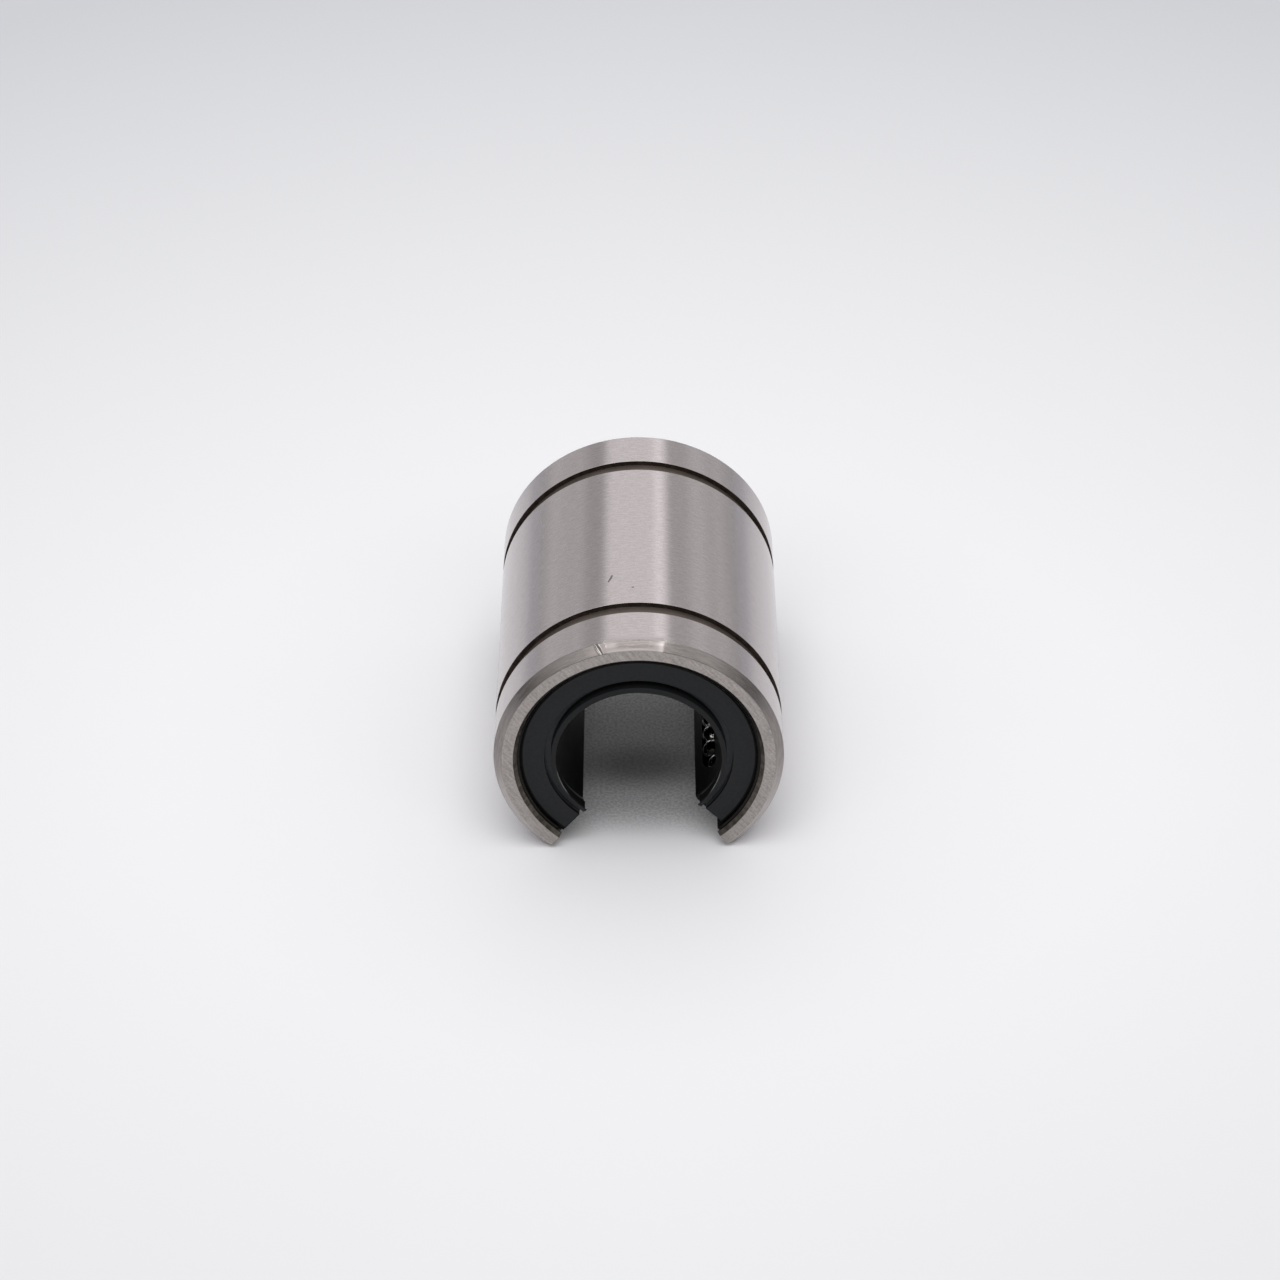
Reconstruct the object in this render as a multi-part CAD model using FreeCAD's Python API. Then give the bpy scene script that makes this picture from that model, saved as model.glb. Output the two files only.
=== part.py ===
import FreeCAD
import Part
import math
import os

# Open-type linear ball bush for a round shaft carried on a rail.
# The bore runs along Y, the opening faces -Z, and the origin is the middle of the bore.

# Driving dimensions, in millimetres and degrees.

# Outer sleeve
shaft_diameter = 16.0
sleeve_diameter = 28.0
sleeve_length = 37.0
opening_angle = 81.0
end_chamfer = 0.75
mouth_chamfer = 0.38
slot_edge_break = 0.2
groove_span = 26.5
groove_width = 1.6
groove_depth = 0.5
groove_diameter = sleeve_diameter - 2 * groove_depth
groove_edge_break = 0.06

# Balls, which take a set share of the wall between shaft and sleeve, and their three circuits
ball_share_of_wall = 0.396875
ball_diameter = ball_share_of_wall * (sleeve_diameter - shaft_diameter) / 2
ball_gap = 0.07
race_gap = 0.04
track_gap = 0.08
balls_in_turn = 3
turn_tilt = 17.0
circuit_inset_angle = 28.5

# Raceway lands inside the sleeve
land_width = 3.0
land_run_out = 0.8
land_ramp_angle = 25.0
land_root = 0.3
land_gap = 0.12

# Ball retainer
retainer_bore_gap = 0.5
retainer_floor_thickness = 0.3
retainer_gap = 0.1
retainer_end_wall = 0.6
retainer_edge_break = 0.25

# Snap rings inside the sleeve's mouths
ring_depth = 0.5
ring_thickness = 0.4
ring_stand_in = 0.26
ring_bite = 0.35
ring_gap = 0.05
ring_edge_break = 0.08
ring_opening_angle = 85.6
front_ring_turn_angle = -0.8
rear_ring_turn_angle = 0.0

# End seals
seal_seat_step = 0.2
seal_gap = 0.1
seal_thickness = 1.8
seal_opening_angle = 85.2
front_seal_turn_angle = 2.75
rear_seal_turn_angle = 0.0
seal_face_gap = 0.17
seal_face_rise = 0.08
seal_face_dish = 0.03
lip_depth = 0.42
lip_width = 0.46
lip_slope = 0.2
lip_land = 0.12
lip_undercut = 0.28
lip_root_length = 0.6
wiper_groove_width = 0.67
wiper_groove_depth = 0.86

Vector = FreeCAD.Vector
origin = Vector(0, 0, 0)
turning_axis = Vector(0, -1, 0)
down_angle = -90.0
overcut = 1.0

# Middles of the circuits: one opposite the opening and one inside each lip
lip_inset_angle = opening_angle / 2 + circuit_inset_angle
circuits = {
    "top": down_angle + 180,
    "left": down_angle + 360 - lip_inset_angle,
    "right": down_angle + lip_inset_angle,
}

# Radii that follow from the shaft and the balls
bore_radius = shaft_diameter / 2
ball_radius = ball_diameter / 2
track_radius = ball_radius + track_gap
load_radius = bore_radius + ball_radius
race_radius = load_radius + ball_radius + race_gap
retainer_bore_radius = bore_radius + retainer_bore_gap
return_radius = retainer_bore_radius + retainer_floor_thickness + track_radius

# Ball spacing: neighbours in a turn stand one pitch apart along the chord
ball_pitch = ball_diameter + ball_gap
turn_step = math.pi / balls_in_turn
turn_radius = ball_pitch / (2 * math.sin(turn_step / 2))
tilt = math.radians(turn_tilt)

# Lengths that follow from the stack of ring, seal and retainer at each end
half_length = sleeve_length / 2
seal_front = ring_depth + ring_thickness
seal_back = seal_front + seal_thickness
retainer_half = half_length - seal_back
turn_reach = turn_radius * math.cos(tilt) + track_radius
straight_room = 2 * (retainer_half - retainer_end_wall - turn_reach)
balls_in_row = int(straight_room / ball_pitch)
straight_half = balls_in_row * ball_pitch / 2
kink_overrun = track_radius * math.tan(tilt)


def at(radius, angle, y):
    """A point at a radius and an angle round the bore, counted from +X towards +Z."""
    turn = math.radians(angle)
    return Vector(radius * math.cos(turn), y, radius * math.sin(turn))


def revolved(outline, start, sweep):
    """A solid turned round the bore axis from an outline of (radius, y) points."""
    points = [Vector(radius, y, 0) for radius, y in outline]
    face = Part.Face(Part.makePolygon(points + points[:1]))
    face.rotate(origin, turning_axis, start)
    return face.revolve(origin, turning_axis, sweep)


def open_ring(outline, gap_angle, turn=0.0):
    """A C-shaped ring whose gap faces down, turned by a few degrees if asked."""
    return revolved(outline, down_angle + gap_angle / 2 + turn, 360 - gap_angle)


def sector(inner, outer, reach, angle, half_angle):
    """A block between two radii, over both halves of a length, centred on an angle."""
    outline = [(inner, -reach), (outer, -reach), (outer, reach), (inner, reach)]
    return revolved(outline, angle - half_angle, 2 * half_angle)


def track_section(centre, side, up, height):
    """The section of an open ball track: a round floor and straight sides."""
    left = centre - side * track_radius
    right = centre + side * track_radius
    floor = Part.Arc(left, centre - up * track_radius, right).toShape()
    top = up * height
    walls = Part.makePolygon([right, right + top, left + top, left])
    return Part.Face(Part.Wire([floor] + walls.Edges))


class Circuit:
    """One closed loop of balls: a loaded row, a return row and a tilted turn at each end."""

    def __init__(self, middle_angle):
        chord = 2 * turn_radius
        cosine = (load_radius**2 + return_radius**2 - chord**2) / (2 * load_radius * return_radius)
        spread = math.degrees(math.acos(cosine))
        self.load_angle = middle_angle - spread / 2
        self.return_angle = middle_angle + spread / 2
        self.load = at(load_radius, self.load_angle, 0)
        self.back = at(return_radius, self.return_angle, 0)
        self.middle = (self.load + self.back) * 0.5
        self.across = (self.back - self.load).normalize()
        normal = Vector(-self.across.z, 0, self.across.x)
        self.outward = normal if normal.dot(self.middle) > 0 else normal * -1

    def turn_centre(self, end):
        return self.middle + Vector(0, end * straight_half, 0)

    def turn_heading(self, end):
        return Vector(0, end * math.cos(tilt), 0) + self.outward * math.sin(tilt)

    def turn_axis(self, end):
        """The axis that carries balls from the loaded row to the return row when turned right-handed."""
        return (self.across * -1).cross(self.turn_heading(end))

    def turn_point(self, end, angle):
        swing = self.turn_heading(end) * math.sin(angle) - self.across * math.cos(angle)
        return self.turn_centre(end) + swing * turn_radius

    def row_offsets(self):
        return [(i + 0.5) * ball_pitch - straight_half for i in range(balls_in_row)]

    def load_balls(self):
        return [ball(at(load_radius, self.load_angle, y)) for y in self.row_offsets()]

    def return_balls(self):
        return [ball(at(return_radius, self.return_angle, y)) for y in self.row_offsets()]

    def turn_balls(self, end):
        return [ball(self.turn_point(end, (i + 0.5) * turn_step)) for i in range(balls_in_turn)]

    def retainer_cuts(self):
        """The load slot, the room for the raceway land, the return track and the two turns."""
        reach = straight_half + kink_overrun
        start = Vector(0, -reach, 0)
        along = Vector(0, 2 * reach, 0)
        height = retainer_radius - retainer_bore_radius + track_radius
        slot = Part.makeCylinder(track_radius, 2 * reach, self.load + start, Vector(0, 1, 0))
        floor = race_radius - land_gap
        slot_half_angle = land_half_angle + math.degrees(land_gap / race_radius)
        roof = retainer_radius + overcut
        land_room = sector(floor, roof, retainer_half + overcut, self.load_angle, slot_half_angle)
        back_track = track_section(self.back + start, self.across, self.outward, height).extrude(along)
        cuts = [slot, land_room, back_track]
        for end in (-1, 1):
            axis = self.turn_axis(end)
            up = axis if axis.dot(self.outward) > 0 else axis * -1
            centre = self.turn_centre(end)
            section = track_section(self.turn_point(end, 0), self.across, up, height)
            cuts.append(section.revolve(centre, axis, 180))
        return cuts


def ball(centre):
    return Part.makeSphere(ball_radius, centre)


# Radii that follow from the highest point of a turn
sample = Circuit(0.0)
turn_angles = [math.radians(step) for step in range(181)]
turn_points = [sample.turn_point(1, angle) for angle in turn_angles]
turn_high_radius = max(math.hypot(point.x, point.z) for point in turn_points)
relief_radius = turn_high_radius + track_radius
retainer_radius = relief_radius - retainer_gap
seat_radius = relief_radius + seal_seat_step
land_half_angle = math.degrees(math.asin(land_width / 2 / race_radius))


def make_sleeve():
    """The ground sleeve: chamfered ends, ring grooves, counterbores and three raceway lands."""
    outer = sleeve_diameter / 2
    groove = groove_diameter / 2
    groove_out = groove_span / 2
    groove_in = groove_out - groove_width
    mouth = seat_radius + mouth_chamfer
    ring_groove = seat_radius + ring_bite + ring_gap
    edge = groove_edge_break
    half = [
        (mouth, half_length),
        (outer - end_chamfer, half_length),
        (outer, half_length - end_chamfer),
        (outer, groove_out + edge),
        (outer - edge, groove_out),
        (groove, groove_out),
        (groove, groove_in),
        (outer - edge, groove_in),
        (outer, groove_in - edge),
    ]
    inside = [
        (relief_radius, half_length - seal_back),
        (seat_radius, half_length - seal_back),
        (seat_radius, half_length - seal_front),
        (ring_groove, half_length - seal_front),
        (ring_groove, half_length - ring_depth),
        (seat_radius, half_length - ring_depth),
        (seat_radius, half_length - mouth_chamfer),
    ]
    rear = inside + half
    front = [(radius, -y) for radius, y in reversed(rear)]
    sleeve = open_ring(rear + front, opening_angle)
    level = straight_half - land_run_out
    foot_radius = relief_radius + land_root
    foot = level + (foot_radius - race_radius) / math.tan(math.radians(land_ramp_angle))
    land = [(race_radius, -level), (foot_radius, -foot), (foot_radius, foot), (race_radius, level)]
    for middle_angle in circuits.values():
        start = Circuit(middle_angle).load_angle - land_half_angle
        sleeve = sleeve.fuse(revolved(land, start, 2 * land_half_angle))
    for side in (-1, 1):
        sleeve = sleeve.cut(slot_bevel(outer, side))
    return sleeve.removeSplitter()


def slot_bevel(outer, side):
    """The small bevel along one outer edge of the opening."""
    angle = down_angle + side * opening_angle / 2
    on_slot = at(outer - slot_edge_break, angle, -half_length)
    on_outside = at(outer, angle + side * math.degrees(slot_edge_break / outer), -half_length)
    slope = on_outside - on_slot
    away = Vector(0, 0, -slot_edge_break)
    corners = [on_slot - slope, on_outside + slope, on_outside + slope + away, on_slot - slope + away]
    return Part.Face(Part.makePolygon(corners + corners[:1])).extrude(Vector(0, sleeve_length, 0))


def make_retainer():
    """The resin cage: a slotted tube with an open oval track for each circuit."""
    inner = retainer_bore_radius
    edge = retainer_edge_break
    end = [(inner + edge, retainer_half), (retainer_radius - edge, retainer_half)]
    corner = [(retainer_radius, retainer_half - edge)]
    mirrored = [(radius, -y) for radius, y in reversed(end + corner)]
    mouth = [(inner, -(retainer_half - edge)), (inner, retainer_half - edge)]
    retainer = open_ring(end + corner + mirrored + mouth, opening_angle)
    for middle_angle in circuits.values():
        retainer = retainer.cut(Circuit(middle_angle).retainer_cuts())
    return retainer


def seal_outline():
    """The seal's section as (radius, depth below the sleeve's end face) points."""
    flange = seat_radius - seal_gap
    face_radius = seat_radius - ring_stand_in - seal_face_gap
    face = seal_front - seal_face_rise
    lip_outer = bore_radius + lip_width
    lip_back = lip_depth + lip_land
    lip_root = bore_radius + lip_undercut
    groove_edge = lip_outer + wiper_groove_width
    groove_mouth = face + seal_face_dish
    groove_floor = groove_mouth + wiper_groove_depth
    return [
        (flange, seal_front),
        (face_radius, seal_front),
        (face_radius, face),
        (groove_edge, groove_mouth),
        (groove_edge, groove_floor),
        (lip_outer, groove_floor),
        (lip_outer, lip_depth + lip_slope),
        (bore_radius, lip_depth),
        (bore_radius, lip_back),
        (lip_root, lip_back + lip_undercut),
        (lip_root, seal_back - lip_root_length),
        (retainer_bore_radius, seal_back - lip_root_length),
        (retainer_bore_radius, seal_back),
        (flange, seal_back),
    ]


def make_seal(end, turn):
    """A seal with a wiper lip round the shaft and a groove behind the lip."""
    outline = [(radius, end * (half_length - depth)) for radius, depth in seal_outline()]
    return open_ring(outline, seal_opening_angle, turn)


def make_ring(end, turn):
    """A flat snap ring with its inner edges eased."""
    inner = seat_radius - ring_stand_in
    outer = seat_radius + ring_bite
    edge = ring_edge_break
    outline = [
        (inner + edge, ring_depth),
        (outer, ring_depth),
        (outer, seal_front),
        (inner + edge, seal_front),
        (inner, seal_front - edge),
        (inner, ring_depth + edge),
    ]
    placed = [(radius, end * (half_length - depth)) for radius, depth in outline]
    return open_ring(placed, ring_opening_angle, turn)


def write(name, shapes):
    """One file for a piece, or for a group of like pieces."""
    shape = shapes[0] if len(shapes) == 1 else Part.makeCompound(shapes)
    shape.exportStep(os.path.join("parts", name + ".step"))


os.makedirs("parts", exist_ok=True)
write("outer_sleeve", [make_sleeve()])
write("ball_retainer", [make_retainer()])
write("front_seal", [make_seal(-1, front_seal_turn_angle)])
write("rear_seal", [make_seal(1, rear_seal_turn_angle)])
write("front_retaining_ring", [make_ring(-1, front_ring_turn_angle)])
write("rear_retaining_ring", [make_ring(1, rear_ring_turn_angle)])
for circuit_name, middle_angle in circuits.items():
    circuit = Circuit(middle_angle)
    for number, loaded in enumerate(circuit.load_balls(), 1):
        write(f"{circuit_name}_load_ball_{number}", [loaded])
    write(f"{circuit_name}_return_balls", circuit.return_balls())
    write(f"{circuit_name}_front_turn_balls", circuit.turn_balls(-1))
    write(f"{circuit_name}_rear_turn_balls", circuit.turn_balls(1))
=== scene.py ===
import math
from collections import namedtuple

import bpy
from mathutils import Matrix, Vector, noise


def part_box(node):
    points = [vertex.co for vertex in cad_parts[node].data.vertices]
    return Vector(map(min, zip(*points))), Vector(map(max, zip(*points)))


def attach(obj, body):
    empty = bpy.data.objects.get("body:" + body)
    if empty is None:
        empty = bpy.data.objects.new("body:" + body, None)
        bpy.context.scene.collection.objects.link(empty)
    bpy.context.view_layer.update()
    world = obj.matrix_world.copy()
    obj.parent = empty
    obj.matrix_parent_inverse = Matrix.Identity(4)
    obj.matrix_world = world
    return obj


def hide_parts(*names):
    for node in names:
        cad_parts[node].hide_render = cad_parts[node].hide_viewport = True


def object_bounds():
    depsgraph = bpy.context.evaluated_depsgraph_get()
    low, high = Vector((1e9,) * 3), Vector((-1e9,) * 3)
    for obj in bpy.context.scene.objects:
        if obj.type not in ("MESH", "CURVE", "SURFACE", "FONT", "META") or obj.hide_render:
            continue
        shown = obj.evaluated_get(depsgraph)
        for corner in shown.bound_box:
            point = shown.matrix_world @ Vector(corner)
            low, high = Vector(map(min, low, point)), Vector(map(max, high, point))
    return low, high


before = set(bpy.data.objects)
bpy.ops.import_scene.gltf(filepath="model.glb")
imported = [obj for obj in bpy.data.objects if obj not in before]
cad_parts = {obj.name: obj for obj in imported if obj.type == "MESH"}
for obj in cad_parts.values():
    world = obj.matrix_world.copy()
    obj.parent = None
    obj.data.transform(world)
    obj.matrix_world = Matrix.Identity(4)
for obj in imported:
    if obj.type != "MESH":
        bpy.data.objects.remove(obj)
cad_low, cad_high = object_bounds()

# Lengths are in millimetres and angles in degrees, counted round the bore from +X towards +Z.
MM = 0.001
DOWN = -90.0
UP = 90.0
sleeve_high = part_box("outer_sleeve")[1] / MM
sleeve_radius = sleeve_high.x
half_length = sleeve_high.y
floor_level = cad_low.z / MM

# Sleeve section
opening_angle = 81.0
end_chamfer = 0.75
mouth_chamfer = 0.38
slot_edge_break = 0.2
groove_outer_wall = 13.25
groove_width = 1.6
groove_depth = 0.5
groove_edge_break = 0.015
relief_radius = 11.548
seat_radius = 11.748
ring_groove_radius = 12.148
ring_depth = 0.5
seal_front = 0.9
seal_back = 2.7

# Raceway lands inside the sleeve
land_angles = (-35.52, 75.48, 186.48)
land_radius = 10.421
land_half_angle = 8.28
land_level = 10.23
land_foot = 12.65
land_side_angle = 0.05

# Fineness of the sleeve's mesh: edge roundings, and steps round the bore over (from, to, step) arcs
crisp_edge = 0.015
rim_edge = 0.09
mouth_edge = 0.04
soft_edge = 0.12
edge_steps = 3
edge_cuts = 20
coarse_turn = 1.5
fine_arcs = [(77.0, 91.0, 0.3), (91.0, 92.7, 0.07), (92.7, 99.4, 0.3), (99.4, 107.6, 0.1)]

# How near two places count as the same, and the least push that counts as a mark or wear
tolerance = 1e-4
least_push = 1e-5

# Marks on the outside: start and end as (angle, y), half width, depth, height of the burr, finish inside
Mark = namedtuple("Mark", "start end half_width depth burr finish")
marks = [
    Mark((106.75, -17.6), (104.5, -18.55), 0.13, 0.075, 0.035, None),
    Mark((101.8, -7.8), (99.9, -6.7), 0.075, 0.08, 0.0, "scratch"),
    Mark((92.35, -9.06), (91.25, -9.06), 0.06, 0.05, 0.0, "scratch"),
]

# Stretches along the sleeve that are cut finely for marks, as (from, to, cuts), and where the outside begins
mark_zones = [(-9.25, -8.87, 8), (-8.0, -6.5, 22)]
outside_radius = 13.0

# A mark's form in half widths: its reach, its finish's reach, the tips' width, the burr's place and spread;
# and the share of its length that has no finish at each tip
mark_reach = 3.0
finish_reach = 0.8
tip_width = 0.35
burr_place = 1.6
burr_spread = 0.2
bare_tip = 0.05

# The worn stretch of the front edge at the top: its arc, the arc of its finish, and the angles over which it
# sets in at its right and left ends; then how deep it is, where down the edge, and how wide
worn_arc = (78.5, 103.5)
burnished_arc = (79.0, 103.0)
worn_ends = (3.0, 1.5)
worn_depth = 0.06
worn_place = 0.1
worn_width = 0.26

# Streaks of the worn stretch: height, place and width, and waves as (share, rates round and down, seed)
streak_height = 0.008
streak_place = 0.25
streak_width = 0.55
streak_waves = [(1.0, 0.9, 7.0, 0.5), (0.6, 2.5, 16.0, 4.5)]

# Soft edges of the seal's zones, most of them painted light and shade, as (from, to) pairs of the distance
# from the bore's axis
lip_glint_edge = (8.02, 8.06)
lip_back_shade = (8.44, 8.47)
lip_shade_side = (8.44, 8.5)
groove_start = (8.47, 8.5)
groove_shadow_line = (9.09, 9.115)
groove_end = (9.16, 9.2)
seal_edge_shadow = (11.18, 11.22)

# Soft edges of the seal's zones, most of them painted light and shade, by the distance along the bore from
# its middle, and by height
seal_level = half_length - seal_front
shade_behind_lip = (seal_level - 0.35, seal_level - 0.25)
shadow_line_foot = (seal_level - 0.3, seal_level - 0.2)
below_face = (seal_level, seal_level + 0.04)
glint_start = (-4.4, -3.4)
glint_end = (-2.0, -1.0)
groove_shade = (2.0, 8.0)

# The floor, by distances from its middle: rings in which a painted falloff of light darkens it, soft edges
# of the patch under the bore and of the patch's rear, which is painted paler as light, and painted shades on
# it as (y, reach, depth)
floor_size = 4000.0
near_light_falloff = (50.0, 100.0)
far_light_falloff = (100.0, 190.0)
patch_side = (7.5, 10.5)
patch_end = (12.0, 17.5)
patch_rear_light = (-3.0, 4.0)
shade_core = 0.5
shade_stretch = (0.5, 1.0, 0.0)
shades = [(-5.5, 5.5, 0.58), (-13.0, 5.0, 0.2)]

# Colours that are used more than once
# The chamfer's darker tones at the top are painted shade
shaded_chamfer_tones = ((0.205, 0.186, 0.178), (0.285, 0.259, 0.249))
seal_shadow = (0.002, 0.002, 0.002)
black = (0.0, 0.0, 0.0)

Corner = namedtuple("Corner", "radius y edge finish cuts rim", defaults=(1, False))
Point = namedtuple("Point", "radius y normal_in normal_out finish")


def mirrored(corners, last_finish):
    """The same corners at the other end of the sleeve, in the opposite order."""
    finishes = [last_finish] + [corner.finish for corner in corners[:-1]]
    flipped = [
        Corner(corner.radius, -corner.y, corner.edge, finish, 1, corner.rim)
        for corner, finish in zip(corners, finishes)
    ]
    return flipped[::-1]


def sleeve_corners():
    """The sleeve's section, counter-clockwise from the front face's inner edge."""
    groove_radius = sleeve_radius - groove_depth
    groove_inner_wall = groove_outer_wall - groove_width
    rim = sleeve_radius - groove_edge_break
    front = [
        Corner(seat_radius + mouth_chamfer, -half_length, mouth_edge, "face"),
        Corner(sleeve_radius - end_chamfer, -half_length, soft_edge, "chamfer", edge_cuts),
        Corner(sleeve_radius, -half_length + end_chamfer, rim_edge, "ground", edge_cuts, True),
        Corner(sleeve_radius, -half_length + 2 * end_chamfer, 0, "ground"),
        Corner(sleeve_radius, -groove_outer_wall - groove_edge_break, crisp_edge, "ground"),
        Corner(rim, -groove_outer_wall, crisp_edge, "groove"),
        Corner(groove_radius, -groove_outer_wall, crisp_edge, "groove_floor"),
        Corner(groove_radius, -groove_inner_wall, crisp_edge, "groove"),
        Corner(rim, -groove_inner_wall, crisp_edge, "ground"),
        Corner(sleeve_radius, -groove_inner_wall + groove_edge_break, crisp_edge, "ground"),
    ]
    middle = []
    for start, end, cuts in mark_zones:
        middle.append(Corner(sleeve_radius, start, 0, "ground", cuts))
        middle.append(Corner(sleeve_radius, end, 0, "ground"))
    inside = [
        Corner(seat_radius, half_length - mouth_chamfer, 0, "bore"),
        Corner(seat_radius, half_length - ring_depth, 0, "bore"),
        Corner(ring_groove_radius, half_length - ring_depth, 0, "bore"),
        Corner(ring_groove_radius, half_length - seal_front, 0, "bore"),
        Corner(seat_radius, half_length - seal_front, 0, "bore"),
        Corner(seat_radius, half_length - seal_back, 0, "bore"),
        Corner(relief_radius, half_length - seal_back, 0, "bore"),
        Corner(relief_radius, land_foot, 0, "bore"),
        Corner(relief_radius, land_level, 0, "bore"),
    ]
    return front + middle + mirrored(front, "mouth") + inside + mirrored(inside, "mouth")


def outward(start, end):
    """The outward normal of one side of a counter-clockwise section."""
    along = (end - start).normalized()
    return Vector((along.y, -along.x))


def turned_by(normal, angle):
    """A normal of the section, turned by an angle in radians."""
    cosine, sine = math.cos(angle), math.sin(angle)
    return Vector((normal.x * cosine - normal.y * sine, normal.x * sine + normal.y * cosine))


def section_points(corners):
    """The section's points with their normals, its edges rounded and its sides cut up."""
    places = [Vector((corner.radius, corner.y)) for corner in corners]
    following = places[1:] + places[:1]
    normals = [outward(start, end) for start, end in zip(places, following)]
    points = []
    for i, corner in enumerate(corners):
        normal_in, normal_out = normals[i - 1], normals[i]
        bend = math.atan2(normal_in.cross(normal_out), normal_in.dot(normal_out))
        reach = corner.edge * abs(math.tan(bend / 2))
        radius = math.copysign(corner.edge, bend)
        enter = places[i] + (places[i - 1] - places[i]).normalized() * reach
        leave = places[i] + (following[i] - places[i]).normalized() * reach
        if corner.edge:
            centre = enter - normal_in * radius
            for step in range(edge_steps + 1):
                normal = turned_by(normal_in, bend * step / edge_steps)
                place = centre + normal * radius
                finish = "rim" if corner.rim and step < edge_steps else corner.finish
                points.append(Point(place.x, place.y, normal, normal, finish))
        else:
            points.append(Point(leave.x, leave.y, normal_in, normal_out, corner.finish))
        for cut in range(1, corner.cuts):
            place = leave.lerp(following[i], cut / corner.cuts)
            points.append(Point(place.x, place.y, normal_out, normal_out, corner.finish))
    return points


def around(radius, angle, y):
    """A place at an angle round the bore."""
    turn = math.radians(angle)
    return Vector((radius * math.cos(turn), y, radius * math.sin(turn)))


def arc_length(angle):
    """The length of an arc on the sleeve's outside."""
    return sleeve_radius * math.radians(angle)


def sleeve_stations():
    """The angles of the sleeve's sections: close together where the marks are."""
    start = DOWN + opening_angle / 2
    end = start + 360 - opening_angle
    bevel = math.degrees(slot_edge_break / sleeve_radius)
    stations = {start, start + bevel, end - bevel, end}
    for angle in land_angles:
        for side in (-1, 1):
            stations.add(angle + side * land_half_angle)
            stations.add(angle + side * (land_half_angle + land_side_angle))
    steps = int((end - start) / coarse_turn)
    coarse = [start + bevel + (i + 0.5) * (end - start - 2 * bevel) / steps for i in range(steps)]
    stations.update(angle for angle in coarse if not fine_arcs[0][0] < angle < fine_arcs[-1][1])
    for first, last, step in fine_arcs:
        count = round((last - first) / step)
        stations.update(round(first + (last - first) * i / count, 4) for i in range(count + 1))
    return sorted(stations)


def mark_share(mark, angle, y):
    """How far along a mark a place lies, from 0 to 1, and how far across in half widths."""
    start_angle, start_y = mark.start
    end_angle, end_y = mark.end
    along = Vector((arc_length(end_angle - start_angle), end_y - start_y))
    offset = Vector((arc_length(angle - start_angle), y - start_y))
    share = offset.dot(along) / along.length_squared
    return share, offset.cross(along) / along.length / mark.half_width


def mark_height(point, angle):
    """How far the marks push a point of the sleeve out of its surface."""
    height = 0.0
    for mark in marks:
        share, across = mark_share(mark, angle, point.y)
        if point.radius < outside_radius or not 0 < share < 1 or abs(across) > mark_reach:
            continue
        leaf = 4 * share * (1 - share)
        across /= tip_width + (1 - tip_width) * leaf
        valley = -mark.depth * math.exp(-across * across)
        ridges = mark.burr * math.exp(-((abs(across) - burr_place) ** 2) / burr_spread)
        height += math.sqrt(leaf) * (valley + ridges)
    return height


def ease(value, low, high):
    """A smooth rise from 0 to 1 between two values."""
    share = min(1, max(0, (value - low) / (high - low)))
    return share * share * (3 - 2 * share)


def wear_height(point, angle):
    """How far the wear pushes a point of the front edge out of its surface, which is mostly inwards."""
    edge_y = -half_length + end_chamfer
    on_edge = point.finish in ("ground", "chamfer", "rim") and point.radius >= outside_radius
    if not on_edge or point.y > edge_y + end_chamfer:
        return 0.0
    right, left = worn_arc
    share = ease(angle, right, right + worn_ends[0]) * ease(-angle, -left, -left + worn_ends[1])
    down = (edge_y - point.y) * (math.sqrt(2) if point.y < edge_y else 1)
    roll = worn_depth * math.exp(-(((down - worn_place) / worn_width) ** 2))
    streak = 0.0
    for part, round_rate, down_rate, seed in streak_waves:
        streak += part * noise.noise(Vector((arc_length(angle) * round_rate, down * down_rate, seed)))
    reach = math.exp(-(((down - streak_place) / streak_width) ** 2))
    return -share * (roll + streak_height * reach * streak)


def sleeve_point(point, angle, at_slot):
    """Where a section point lies at an angle, with lands, slot bevels, marks and wear."""
    radius = point.radius
    if at_slot:
        radius = min(radius, sleeve_radius - slot_edge_break)
    on_land = any(abs(angle - land) <= land_half_angle + tolerance for land in land_angles)
    on_relief = abs(radius - relief_radius) < tolerance
    if on_land and on_relief and abs(abs(point.y) - land_level) < tolerance:
        radius = land_radius
    push = mark_height(point, angle) + wear_height(point, angle)
    y = max(-half_length, point.y + push * point.normal_out.y)
    return around(radius + push * point.normal_out.x, angle, y), push


def patch_finish(point, following, angle):
    """The finish of one patch of the sleeve, which marks and wear may change."""
    y = (point.y + following.y) / 2
    for mark in marks:
        share, across = mark_share(mark, angle, y)
        within = bare_tip < share < 1 - bare_tip and abs(across) < finish_reach
        if mark.finish and point.finish == "ground" and within:
            return mark.finish
    on_edge = point.finish in ("chamfer", "rim", "ground") and y < -half_length + 2 * end_chamfer
    right, left = burnished_arc
    if on_edge and point.radius > outside_radius and right < angle < left:
        return "worn"
    return point.finish


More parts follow.
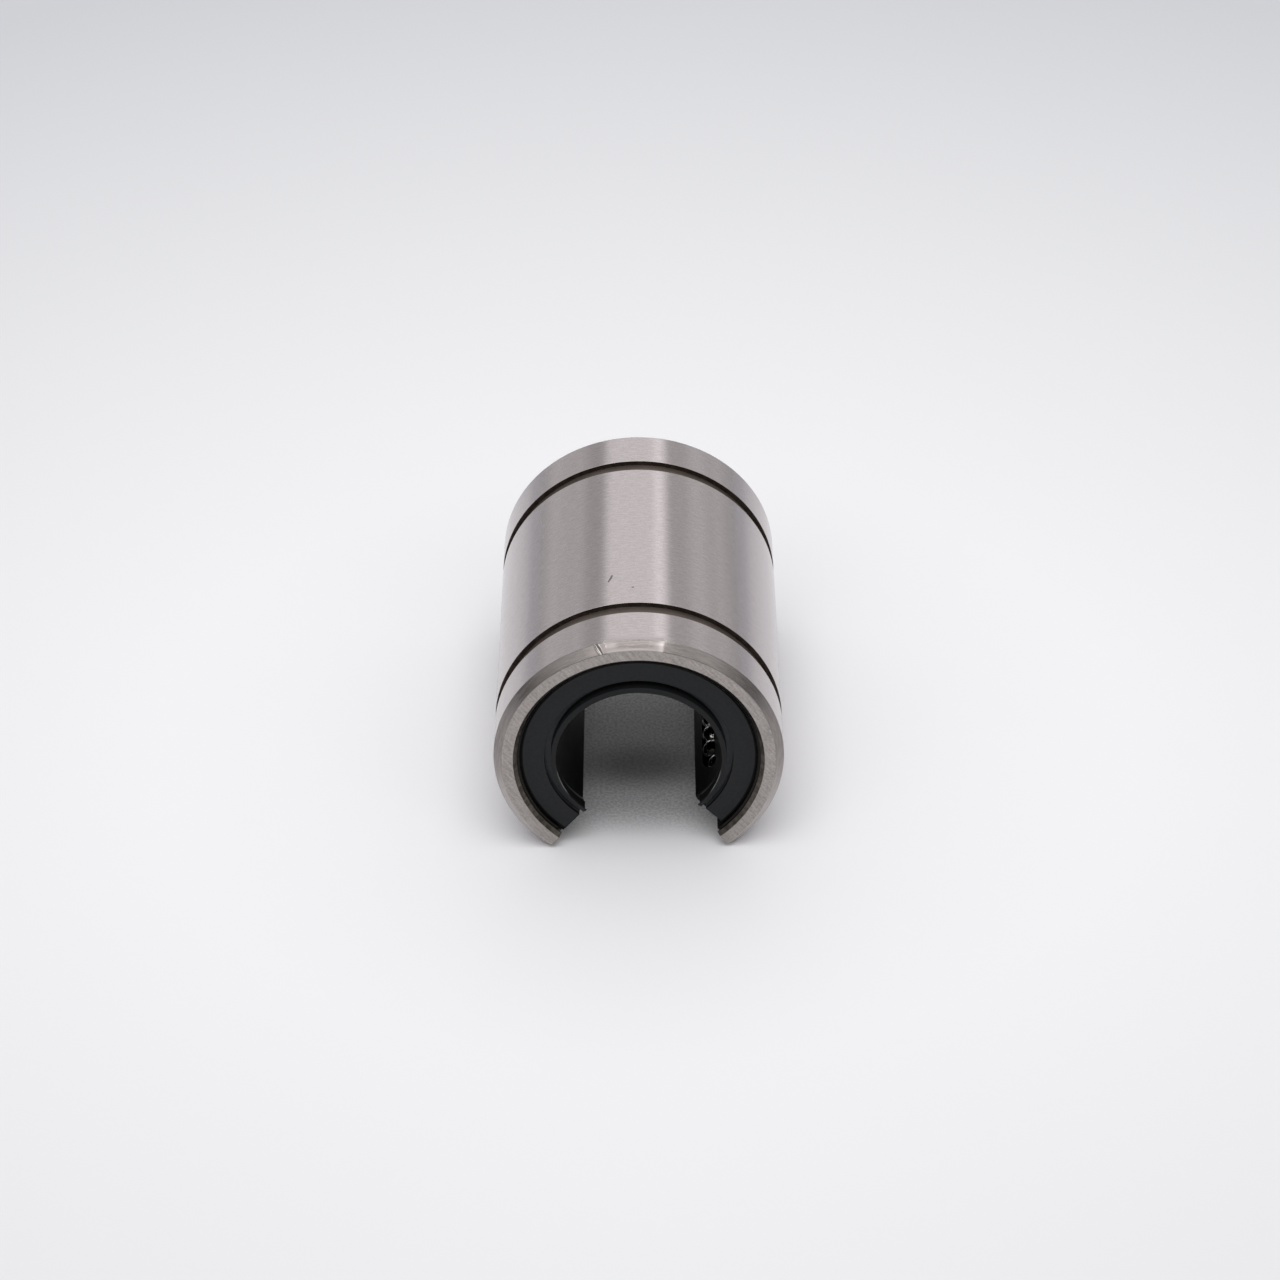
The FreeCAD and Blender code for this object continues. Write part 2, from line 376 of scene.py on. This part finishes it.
def make_sleeve(finishes):
    """The sleeve as a mesh of patches between its sections, each with one of the finishes."""
    points = section_points(sleeve_corners())
    stations = sleeve_stations()
    size, last = len(points), len(stations) - 1
    vertices, marked = [], set()
    for i, angle in enumerate(stations):
        for point in points:
            place, push = sleeve_point(point, angle, i in (0, last))
            if abs(push) > least_push:
                marked.add(len(vertices))
            vertices.append(place * MM)
    faces, patches, normals = [], [], []
    for i in range(last):
        middle = (stations[i] + stations[i + 1]) / 2
        for j, point in enumerate(points):
            k = (j + 1) % size
            faces.append((i * size + j, i * size + k, (i + 1) * size + k, (i + 1) * size + j))
            patches.append(patch_finish(point, points[k], middle))
            if point.finish == "bore" or i in (0, last - 1):
                normals.append(None)
                continue
            corners = [(point.normal_out, i), (points[k].normal_in, i)]
            corners += [(points[k].normal_in, i + 1), (point.normal_out, i + 1)]
            normals.append([around(normal.x, stations[s], normal.y) for normal, s in corners])
    faces.append(tuple(reversed(range(size))))
    faces.append(tuple(range(last * size, (last + 1) * size)))
    patches += ["slot", "slot"]
    normals += [None, None]
    mesh = bpy.data.meshes.new("sleeve_skin")
    mesh.from_pydata(vertices, [], faces)
    names = list(finishes)
    mesh.polygons.foreach_set("material_index", [names.index(patch) for patch in patches])
    mesh.polygons.foreach_set("use_smooth", [True] * len(faces))
    set_normals(mesh, faces, normals, marked)
    for material in finishes.values():
        mesh.materials.append(material)
    sleeve = bpy.data.objects.new("sleeve_skin", mesh)
    bpy.context.collection.objects.link(sleeve)
    return sleeve


def set_normals(mesh, faces, normals, marked):
    """Shades the mesh: flat where no normals are given, smooth at marks and wear, as given elsewhere."""
    smooth = [vertex.normal.copy() for vertex in mesh.vertices]
    split = []
    for face, polygon, wanted in zip(faces, mesh.polygons, normals):
        for corner, vertex in enumerate(face):
            if wanted is None:
                split.append(polygon.normal)
            elif vertex in marked:
                split.append(smooth[vertex])
            else:
                split.append(wanted[corner])
    mesh.normals_split_custom_set(split)


class Nodes:
    """A node tree, built node by node. An edge is a (from, to) pair over which a share changes."""

    def __init__(self, tree):
        self.tree = tree

    def put(self, entry, value):
        """Links a socket to an input, or sets the input to a value."""
        if isinstance(value, bpy.types.NodeSocket):
            self.tree.links.new(value, entry)
        elif entry.type == "RGBA":
            entry.default_value = (*value, 1)
        else:
            entry.default_value = value

    def node(self, kind, inputs=(), **settings):
        """A new node with its settings made, and its inputs linked or set."""
        made = self.tree.nodes.new("ShaderNode" + kind)
        for name, value in settings.items():
            setattr(made, name, value)
        for key, value in dict(inputs).items():
            self.put(made.inputs[key], value)
        return made

    def math(self, operation, first, second=0.0):
        return self.node("Math", {0: first, 1: second}, operation=operation).outputs[0]

    def product(self, *shares):
        """Values multiplied together."""
        result = shares[0]
        for share in shares[1:]:
            result = self.math("MULTIPLY", result, share)
        return result

    def axes(self, vector):
        """A vector's three parts."""
        return self.node("SeparateXYZ", {0: vector}).outputs

    def along(self, vector, direction):
        """How far a vector reaches in a direction."""
        made = self.node("VectorMath", {0: vector, 1: direction}, operation="DOT_PRODUCT")
        return made.outputs["Value"]

    def length(self, vector):
        return self.node("VectorMath", {0: vector}, operation="LENGTH").outputs["Value"]

    def moved(self, vector, offset):
        return self.node("VectorMath", {0: vector, 1: offset}, operation="ADD").outputs[0]

    def stretched(self, vector, factors):
        return self.node("VectorMath", {0: vector, 1: factors}, operation="MULTIPLY").outputs[0]

    def noise(self, vector, scale, detail=3.0, roughness=0.55):
        inputs = {"Vector": vector, "Scale": scale, "Detail": detail, "Roughness": roughness}
        return self.node("TexNoise", inputs).outputs["Fac"]

    def span(self, value, low, high, to_low, to_high, smooth=True):
        """A value between two ends mapped to a range, and held at the range's ends outside them."""
        kind = "SMOOTHSTEP" if smooth else "LINEAR"
        ends = {"From Min": low, "From Max": high, "To Min": to_low, "To Max": to_high}
        return self.node("MapRange", {"Value": value, **ends}, interpolation_type=kind).outputs[0]

    def rise(self, value, edge, top=1.0, smooth=True):
        """A share that grows from nought to its top over an edge."""
        return self.span(value, *edge, 0.0, top, smooth)

    def fall(self, value, edge, top=1.0):
        """A share that drops from its top to nought over an edge."""
        return self.span(value, *edge, top, 0.0)

    def window(self, value, start, end):
        """One between a rising and a falling edge, and nought outside them."""
        return self.product(self.rise(value, start), self.fall(value, end))

    def contrast(self, pattern):
        """A pattern's middle range spread from 0 to 1."""
        return self.rise(pattern, (0.35, 0.65))

    def blend(self, first, second, share):
        """Two patterns added by their shares, and spread over the range from 0 to 1."""
        total = self.math("ADD", self.product(first, share), self.product(second, 1 - share))
        return self.rise(total, (0.36, 0.64), smooth=False)

    def mix(self, share, first, second):
        """Two colours mixed. The colour sockets of a mix node are its inputs 6 and 7 and its output 2."""
        return self.node("Mix", {"Factor": share, 6: first, 7: second}, data_type="RGBA").outputs[2]


class Shader(Nodes):
    """A material with a principled surface."""

    def __init__(self, name, **values):
        self.material = bpy.data.materials.new(name)
        self.material.use_nodes = True
        super().__init__(self.material.node_tree)
        self.surface = self.tree.nodes["Principled BSDF"]
        for label, value in values.items():
            self.set(label.replace("_", " ").title(), value)

    def set(self, socket, value):
        self.put(self.surface.inputs[socket], value)

    def place(self):
        """The place on the object, in millimetres."""
        coordinates = self.node("TexCoord").outputs["Object"]
        return self.node("VectorMath", {0: coordinates, "Scale": 1 / MM}, operation="SCALE").outputs[0]

    def unrolled(self):
        """The surface laid flat: length round the sleeve, length along it, distance from its axis."""
        x, y, z = self.axes(self.place())
        round_length = self.product(self.math("ARCTAN2", x, z), sleeve_radius)
        distance = self.math("SQRT", self.math("ADD", self.product(x, x), self.product(z, z)))
        return self.node("CombineXYZ", {0: round_length, 1: y, 2: distance}).outputs[0]

    def bump(self, height, distance):
        inputs = {"Height": height, "Distance": distance * MM, "Strength": 0.5}
        self.set("Normal", self.node("Bump", inputs).outputs[0])

    def round_edges(self, radius):
        """Shades sharp edges as if they were rounded."""
        self.set("Normal", self.node("Bevel", {"Radius": radius * MM}, samples=6).outputs[0])


def ground_steel():
    """The ground outside, with fine strokes round it."""
    shader = Shader("ground_steel", metallic=1.0)
    flat = shader.unrolled()
    mottle = shader.noise(flat, 1.3, 5.0, 0.65)
    strokes = shader.noise(shader.stretched(flat, (1.1, 5.0, 0.0)), 1.0, 3.0, 0.6)
    speckle = shader.noise(flat, 4.5, 2.0)
    tone = shader.blend(strokes, speckle, 0.6)
    shader.set("Base Color", shader.mix(tone, (0.38, 0.343, 0.347), (0.47, 0.426, 0.43)))
    shader.set("Roughness", shader.span(mottle, 0.3, 0.7, 0.12, 0.18))
    shader.bump(strokes, 0.003)
    return shader.material


def chamfer_steel():
    """Turned steel with painted shade: darker towards the top and paler towards the lips of the opening."""
    shader = Shader("chamfer_steel", metallic=1.0)
    height = shader.axes(shader.place())[2]
    streaks = shader.noise(shader.stretched(shader.unrolled(), (0.8, 6.0, 6.0)), 1.0, 4.0, 0.65)
    tone = shader.rise(streaks, (0.34, 0.66), smooth=False)
    high = shader.mix(tone, *shaded_chamfer_tones)
    low = shader.mix(tone, (0.4, 0.37, 0.355), (0.5, 0.465, 0.45))
    # Painted shade: the chamfer's tone darkens with height
    shader.set("Base Color", shader.mix(shader.rise(height, (-8.0, 2.5)), low, high))
    shader.set("Roughness", shader.span(streaks, 0.3, 0.7, 0.17, 0.25))
    shader.bump(streaks, 0.006)
    return shader.material


def face_steel(name):
    """Ground flat steel with straight fine scratches."""
    shader = Shader(name, metallic=1.0)
    place = shader.place()
    along = shader.along(place, (0.616, 0.0, -0.788))
    across = shader.along(place, (0.788, 0.0, 0.616))
    run = shader.node("CombineXYZ", {0: along, 1: across}).outputs[0]
    scratches = shader.noise(shader.stretched(run, (0.5, 5.5, 1.0)), 1.0, 4.0, 0.7)
    speckle = shader.noise(place, 4.0, 3.0, 0.6)
    tone = shader.blend(scratches, speckle, 0.6)
    shader.set("Base Color", shader.mix(tone, (0.242, 0.221, 0.208), (0.456, 0.42, 0.4)))
    shader.set("Roughness", shader.span(scratches, 0.3, 0.7, 0.3, 0.42))
    shader.bump(scratches, 0.008)
    return shader.material


def dark_steel(name, low, high, rough):
    """Unground steel with a mottled tone."""
    shader = Shader(name, metallic=1.0, roughness=rough)
    grain = shader.noise(shader.place(), 1.6, 4.0, 0.65)
    shader.set("Base Color", shader.mix(shader.contrast(grain), low, high))
    return shader.material


def turned_steel():
    """The brown turned floor of the grooves, with fine lines round it."""
    shader = Shader("turned_steel", metallic=1.0, roughness=0.6)
    flat = shader.unrolled()
    lines = shader.noise(shader.stretched(flat, (0.35, 9.0, 0.0)), 1.0, 4.0, 0.65)
    stain = shader.noise(flat, 0.5, 3.0)
    tone = shader.blend(lines, stain, 0.65)
    shader.set("Base Color", shader.mix(tone, (0.125, 0.103, 0.089), (0.205, 0.171, 0.152)))
    shader.bump(lines, 0.004)
    return shader.material


def mouth_steel():
    """Turned steel, with painted shade on the upper right."""
    shader = Shader("mouth_steel", metallic=1.0, roughness=0.35)
    place = shader.place()
    grain = shader.noise(place, 1.6, 4.0, 0.65)
    light = shader.mix(shader.contrast(grain), (0.058, 0.051, 0.044), (0.122, 0.108, 0.093))
    # Painted shade: darker towards the upper right
    shade = shader.rise(shader.along(place, (0.7, 0.0, 0.7)), (9.5, 11.4), 0.65)
    shader.set("Base Color", shader.mix(shade, light, (0.01, 0.009, 0.008)))
    return shader.material


def rim_steel():
    """A lightly broken edge."""
    return Shader("rim_steel", metallic=1.0, roughness=0.3, base_color=(0.27, 0.25, 0.243)).material


def worn_steel():
    """The scuffed stretch of the front edge: matt and streaked, with a bright foot, a painted glint at its
    right end and a band of painted light above the edge.
    """
    shader = Shader("worn_steel", metallic=1.0)
    flat = shader.unrolled()
    across, y = shader.axes(flat)[:2]
    right, left = (arc_length(UP - angle) for angle in burnished_arc)
    foot = -half_length
    edge = foot + end_chamfer
    streaks = shader.noise(shader.stretched(flat, (0.8, 6.0, 6.0)), 1.0, 4.0, 0.7)
    inside = shader.window(across, (left, left + 0.25), (right - 0.3, right))
    wear_and_glint = shader.window(across, (left + 0.6, left + 1.6), (right - 2.2, right - 1.0))
    band = shader.window(y, (foot + 0.12, foot + 0.3), (edge + 0.15, edge + 0.6))
    scuffs = shader.product(band, wear_and_glint, shader.span(streaks, 0.38, 0.6, 0.25, 1.0))
    bright_foot = shader.product(shader.fall(y, (foot + 0.04, foot + 0.2)), inside)
    # Painted glint at the right end of the stretch
    painted_glint_end = shader.product(shader.window(across, (1.8, 2.4), (right - 0.2, right)), 0.7)
    burnished = shader.mix(streaks, (0.302, 0.274, 0.265), (0.382, 0.347, 0.336))
    burnished = shader.mix(scuffs, burnished, (0.215, 0.193, 0.185))
    burnished = shader.mix(bright_foot, burnished, (0.38, 0.346, 0.337))
    burnished = shader.mix(painted_glint_end, burnished, (0.56, 0.51, 0.5))
    chamfer = shader.mix(inside, shader.mix(streaks, *shaded_chamfer_tones), burnished)
    # Painted light: the ground is made paler just above the edge
    painted_light_above_edge = shader.window(y, (edge - 0.1, edge + 0.1), (edge + 0.3, edge + 0.7))
    ground = shader.mix(streaks, (0.395, 0.357, 0.361), (0.455, 0.412, 0.416))
    ground = shader.mix(shader.product(painted_light_above_edge, inside, 0.9), ground, (0.53, 0.482, 0.482))
    surface = shader.mix(shader.rise(y, (edge - 0.2, edge + 0.3)), chamfer, ground)
    mottle = shader.noise(shader.stretched(flat, (1.8, 5.0, 0.0)), 1.0, 4.0, 0.7)
    middle = shader.window(across, (-2.2, -1.6), (1.5, 2.0))
    below = shader.window(y, (foot + 0.1, foot + 0.3), (edge - 0.1, edge + 0.15))
    patches = shader.product(shader.span(mottle, 0.38, 0.62, 0.05, 0.6), middle, below)
    shader.set("Base Color", shader.mix(patches, surface, (0.2, 0.18, 0.175)))
    matt = shader.product(inside, shader.fall(y, (edge + 0.25, edge + 0.74)))
    shader.set("Roughness", shader.span(matt, 0.0, 1.0, 0.18, 0.46))
    shader.bump(streaks, 0.006)
    return shader.material


def rubber():
    """Moulded rubber with painted light and shade: a wiper groove painted paler low down, painted shadow at
    its outer wall, behind the lip and along the outer edge, painted shade beside the lip, and a painted
    glint on the lip near its ends.
    """
    shader = Shader("seal_rubber", roughness=0.6)
    place = shader.place()
    height = shader.axes(place)[2]
    y, distance = shader.axes(shader.unrolled())[1:]
    depth = shader.math("ABSOLUTE", y)
    in_groove = shader.window(distance, groove_start, groove_end)
    in_groove = shader.product(in_groove, shader.fall(depth, below_face))
    # Painted shadow: a dark line at the groove's outer wall
    groove_wall_shadow = shader.product(in_groove, shader.rise(distance, groove_shadow_line), shader.rise(depth, shadow_line_foot))
    # Painted shade behind the lip, where its inner surfaces lie in shadow
    back = shader.product(shader.fall(depth, shade_behind_lip), shader.fall(distance, lip_back_shade))
    # Painted glint on the lip's inner edge, low on each side
    wear_and_glint = shader.product(shader.window(height, glint_start, glint_end), shader.fall(distance, lip_glint_edge))
    # Painted shadow along the seal's outer edge
    outer_edge_shadow = shader.rise(distance, seal_edge_shadow)
    tone = shader.contrast(shader.noise(place, 5.0, 4.0, 0.6))
    # Painted light and shade: the groove is paler low down and darker at the top
    groove = shader.mix(shader.rise(height, groove_shade), (0.056, 0.061, 0.066), (0.03, 0.034, 0.037))
    face = shader.mix(tone, (0.0077, 0.0086, 0.0096), (0.011, 0.0121, 0.0132))
    # Painted shade on the face next to the lip
    face = shader.mix(shader.fall(distance, lip_shade_side, 0.3), face, seal_shadow)
    face = shader.mix(outer_edge_shadow, face, (0.0012, 0.0012, 0.0012))
    face = shader.mix(in_groove, face, groove)
    face = shader.mix(groove_wall_shadow, face, seal_shadow)
    face = shader.mix(wear_and_glint, face, (0.2, 0.2, 0.195))
    shader.set("Base Color", shader.mix(back, face, (0.003, 0.003, 0.003)))
    # Less sheen where shadow is painted
    dark = shader.math("MAXIMUM", shader.math("MAXIMUM", groove_wall_shadow, outer_edge_shadow), back)
    shader.set("Specular IOR Level", shader.span(dark, 0.0, 1.0, 0.25, 0.1))
    shader.round_edges(0.03)
    return shader.material


def resin():
    """Black moulded resin."""
    shader = Shader("cage_resin", roughness=0.35)
    grain = shader.noise(shader.place(), 3.0, 3.0)
    shader.set("Base Color", shader.mix(grain, (0.0014, 0.0017, 0.0017), (0.0022, 0.0026, 0.0026)))
    shader.set("Specular IOR Level", 0.15)
    return shader.material


def spring_steel():
    """Dark spring steel, with painted shade that makes it darkest at the top."""
    shader = Shader("spring_steel", metallic=1.0, roughness=0.32)
    place = shader.place()
    height = shader.axes(place)[2]
    low = shader.mix(shader.noise(place, 4.0, 3.0), (0.01, 0.009, 0.0085), (0.03, 0.027, 0.025))
    # Painted shade: darker towards the top
    shader.set("Base Color", shader.mix(shader.rise(height, (1.0, 6.0)), low, (0.004, 0.0036, 0.0035)))
    shader.round_edges(0.05)
    return shader.material


def ball_steel():
    """Polished steel with patches of dark oil."""
    shader = Shader("ball_steel", metallic=1.0, roughness=0.03)
    clean = shader.rise(shader.noise(shader.place(), 1.9, 2.0), (0.5, 0.58))
    shader.set("Base Color", shader.mix(clean, (0.012, 0.011, 0.01), (0.82, 0.81, 0.79)))
    return shader.material


def sleeve_finishes():
    """The sleeve's materials, by the finish that its patches name."""
    return {
        "ground": ground_steel(),
        "chamfer": chamfer_steel(),
        "face": face_steel("face_steel"),
        "groove": dark_steel("groove_steel", (0.06, 0.047, 0.04), (0.1, 0.08, 0.068), 0.5),
        "groove_floor": turned_steel(),
        "mouth": mouth_steel(),
        "bore": dark_steel("bore_steel", (0.06, 0.051, 0.045), (0.11, 0.096, 0.083), 0.4),
        "slot": face_steel("slot_steel"),
        "rim": rim_steel(),
        "worn": worn_steel(),
        "scratch": dark_steel("scratch_steel", (0.17, 0.152, 0.152), (0.24, 0.216, 0.216), 0.4),
    }


def dress():
    """Gives every piece its finish."""
    sleeve = make_sleeve(sleeve_finishes())
    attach(sleeve, "housing")
    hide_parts("outer_sleeve")
    seal, ring, ball = rubber(), spring_steel(), ball_steel()
    materials = {
        "ball_retainer": resin(),
        "front_seal": seal,
        "rear_seal": seal,
        "front_retaining_ring": ring,
        "rear_retaining_ring": ring,
    }
    for name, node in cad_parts.items():
        if name != "outer_sleeve":
            for slot in node.material_slots:
                slot.material = materials.get(name, ball)


def make_floor():
    """A pale floor with a painted falloff of light away from the object, a grain, a rear under the bore
    painted paler as light, and painted shades under the bore.
    """
    bpy.ops.mesh.primitive_plane_add(size=floor_size * MM, location=(0, 0, floor_level * MM))
    floor = bpy.context.object
    floor.name = "floor"
    shader = Shader("floor", roughness=1.0)
    shader.set("Specular IOR Level", 0.0)
    place = shader.place()
    x, y = shader.axes(place)[:2]
    distance = shader.length(place)
    # Painted light: the floor darkens away from the object
    near = shader.rise(distance, near_light_falloff, smooth=False)
    far = shader.rise(distance, far_light_falloff, smooth=False)
    side, end = shader.math("ABSOLUTE", x), shader.math("ABSOLUTE", y)
    patch = shader.product(shader.fall(side, patch_side), shader.fall(end, patch_end))
    # Painted light: the rear of the patch under the bore is paler
    rear = shader.product(patch, shader.rise(y, patch_rear_light))
    grain = shader.product(shader.rise(shader.noise(place, 3.5, 2.0), (0.35, 0.65), 0.25), patch)
    pale = shader.mix(near, (0.808, 0.803, 0.823), (0.73, 0.729, 0.747))
    pale = shader.mix(rear, pale, (0.88, 0.876, 0.893))
    pale = shader.mix(grain, pale, black)
    # Painted shades on the floor under the bore
    for middle, reach, depth in shades:
        offset = shader.stretched(shader.moved(place, (0.0, -middle, 0.0)), shade_stretch)
        pale = shader.mix(shader.fall(shader.length(offset), (shade_core, reach), depth), pale, black)
    shader.set("Base Color", shader.mix(far, pale, (0.56, 0.57, 0.595)))
    floor.data.materials.append(shader.material)


# The light tent, from behind the object to the camera's side. Each zone sets in where a direction's share
# along the bore falls over its edge, and has (angle off the zenith, level) pairs across the bore.
Zone = namedtuple("Zone", "edge levels")
back_level = (0.35, 0.35, 0.35)
tent = [
    Zone((0.95, 0.87), [
        (-90, 0.58), (-75, 0.82), (-68, 0.76), (-56, 0.76), (-49, 0.78), (-42, 0.62), (-31, 0.6),
        (-24, 1.2), (11.5, 1.2), (15.5, 1.5), (20, 1.5), (27, 0.68), (40, 0.7), (48, 0.84),
        (55, 0.84), (64, 0.71), (72, 0.77), (90, 0.55),
    ]),
    Zone((0.72, 0.6), [(-90, 0.35), (-60, 0.5), (-40, 0.75), (40, 0.75), (60, 0.5), (90, 0.35)]),
    Zone((0.15, 0.0), [
        (-90, 0.38), (-60, 0.45), (-28, 0.52), (-20, 3.78), (20, 3.78), (28, 0.52), (60, 0.44), (90, 0.36),
    ]),
    Zone((-0.32, -0.42), [
        (-90, 0.22), (-80, 0.4), (-72, 0.64), (-60, 0.86), (-50, 1.05), (-38, 1.1), (-31, 1.68),
        (17, 1.68), (23, 0.95), (50, 1.12), (60, 0.9), (72, 0.62), (80, 0.38), (90, 0.2),
    ]),
    Zone((-0.65, -0.8), [(-90, 0.4), (-50, 0.6), (50, 0.6), (90, 0.4)]),
]


def tent_wall(nodes, share, levels):
    """The tent's brightness across the bore."""
    ramp = nodes.node("ValToRGB", {"Fac": share})
    elements = ramp.color_ramp.elements
    while len(elements) < len(levels):
        elements.new(0.5)
    for element, (angle, level) in zip(elements, levels):
        element.position = 0.5 + angle / 180
        element.color = (level, level, level, 1)
    return ramp.outputs["Color"]


def make_world():
    """Lights the object by the tent alone."""
    world = bpy.data.worlds.new("tent")
    bpy.context.scene.world = world
    world.use_nodes = True
    nodes = Nodes(world.node_tree)
    x, y, z = nodes.axes(nodes.node("TexCoord").outputs["Generated"])
    share = nodes.rise(nodes.math("ARCTAN2", x, z), (-math.pi / 2, math.pi / 2), smooth=False)
    light = back_level
    for zone in tent:
        light = nodes.mix(nodes.rise(y, zone.edge), light, tent_wall(nodes, share, zone.levels))
    nodes.put(nodes.tree.nodes["Background"].inputs["Color"], light)


def make_camera():
    """The photograph's viewpoint."""
    elevation, azimuth, roll = math.radians(35.70), math.radians(0.278), math.radians(-0.607)
    position = Vector((1.52, -282.35, 204.1)) * MM
    focal_length, frame_size, sensor = 3467.0, 1280.0, 36.0
    back = Vector((
        math.sin(azimuth) * math.cos(elevation),
        -math.cos(azimuth) * math.cos(elevation),
        math.sin(elevation),
    ))
    right = Vector((0, 0, 1)).cross(back).normalized()
    up = back.cross(right)
    rolled_right = right * math.cos(roll) + up * math.sin(roll)
    rolled_up = up * math.cos(roll) - right * math.sin(roll)
    data = bpy.data.cameras.new("camera")
    data.sensor_width = sensor
    data.lens = focal_length / frame_size * sensor
    data.clip_start = 1.0 * MM
    camera = bpy.data.objects.new("camera", data)
    axes = Matrix((rolled_right, rolled_up, back)).transposed().to_4x4()
    camera.matrix_world = Matrix.Translation(position) @ axes
    bpy.context.collection.objects.link(camera)
    bpy.context.scene.camera = camera


dress()
make_floor()
make_world()
make_camera()
bpy.context.scene.view_settings.view_transform = "Standard"
